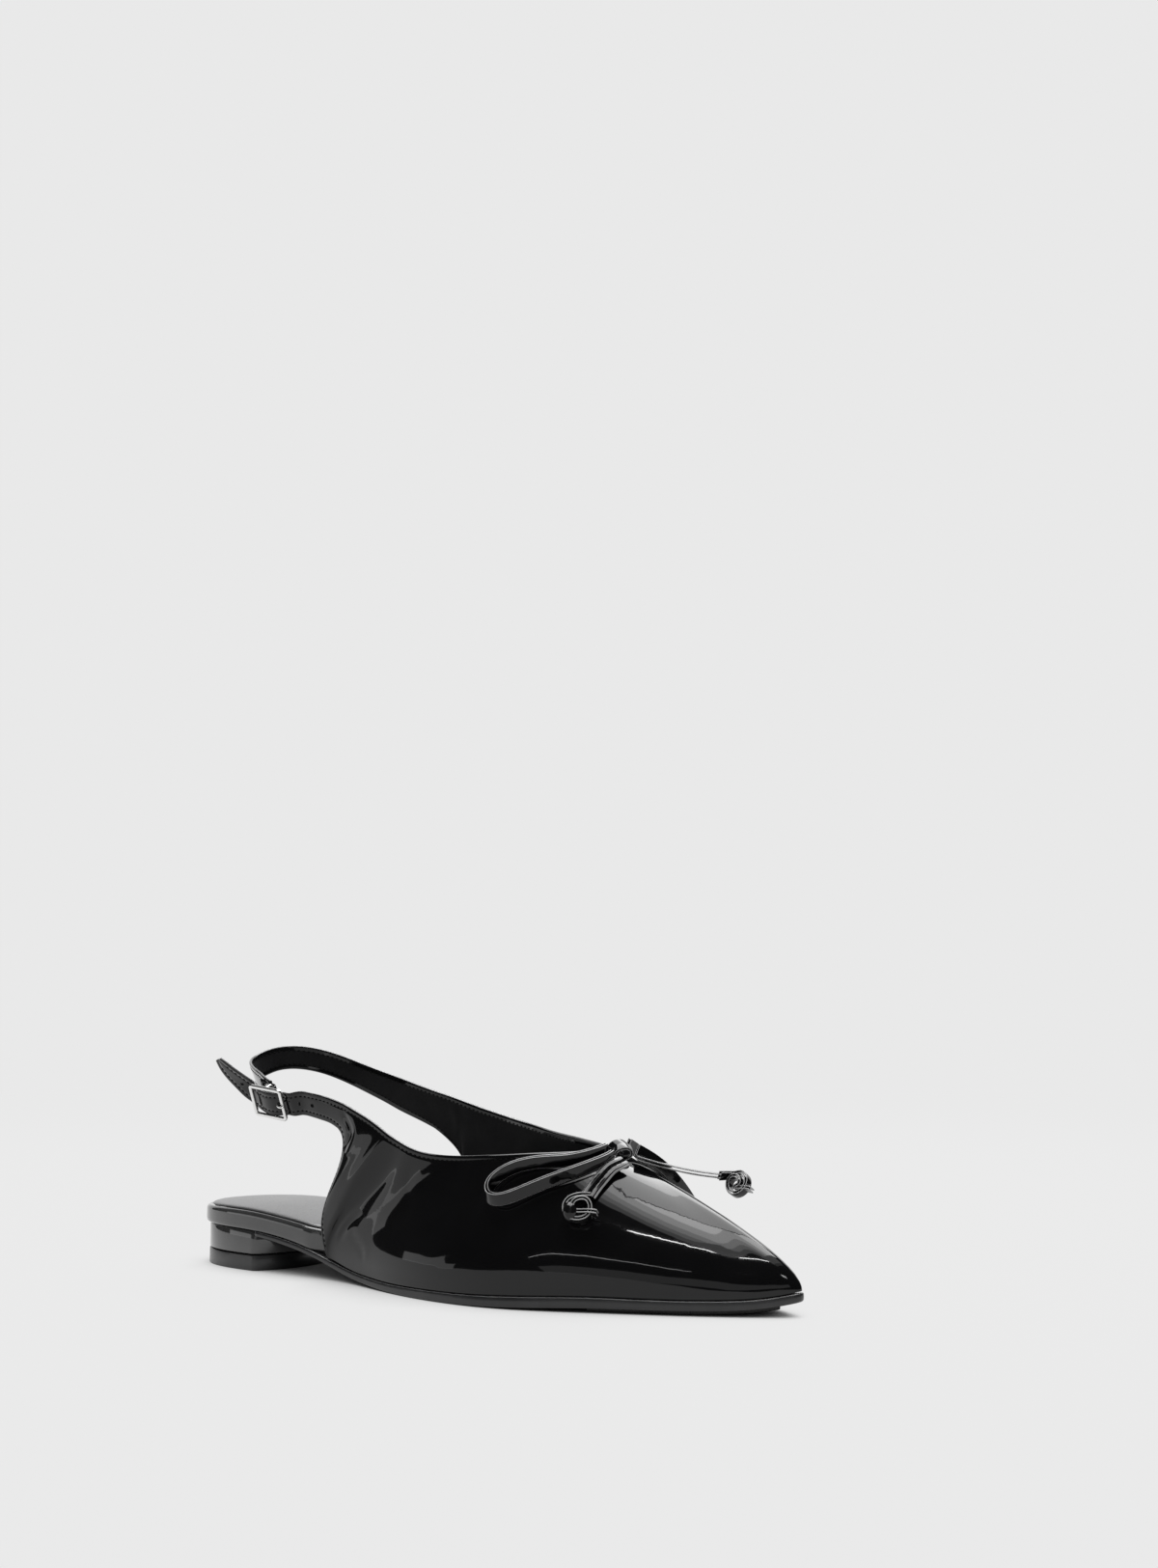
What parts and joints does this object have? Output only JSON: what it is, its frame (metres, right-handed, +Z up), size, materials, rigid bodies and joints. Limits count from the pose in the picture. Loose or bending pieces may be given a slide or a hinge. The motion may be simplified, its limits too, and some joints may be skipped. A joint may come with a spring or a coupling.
{
  "type": "pointed slingback flat shoe",
  "caption": "Pointed slingback flat for the right foot with a low block heel, a buckled heel strap and a small bow at the throat.",
  "frame": {"origin": "middle of the heel's top lift, on the floor", "axes": "+X towards the point of the toe, +Y to the medial side (the wearer's left), +Z up"},
  "size_m": [0.2651, 0.0792, 0.0856],
  "materials": {
    "patent_leather": "black patent, mirror gloss",
    "heel_wrap": "black patent wrap, gloss",
    "sock_lining": "dark grey satin lining",
    "sole_rubber": "black, semi matte",
    "tread_rubber": "black, matte, fine tread",
    "lift_rubber": "black, matte",
    "buckle_metal": "bright silver plate"
  },
  "bodies": {
    "root": {"outsole": "sole_rubber", "forefoot_tread": "tread_rubber", "top_lift": "lift_rubber", "heel_block": "heel_wrap", "insole_board": "heel_wrap", "insole_sock": "sock_lining", "upper": "patent_leather", "heel_strap": "patent_leather", "buckle_strap": "patent_leather", "buckle_frame": "buckle_metal", "buckle_prong": "buckle_metal", "bow_loop_lateral": "patent_leather", "bow_loop_medial": "patent_leather", "bow_tail_lateral": "patent_leather", "bow_tail_medial": "patent_leather", "bow_knot": "patent_leather", "tail_knot_lateral": "patent_leather", "tail_knot_medial": "patent_leather"}
  },
  "joints": []
}
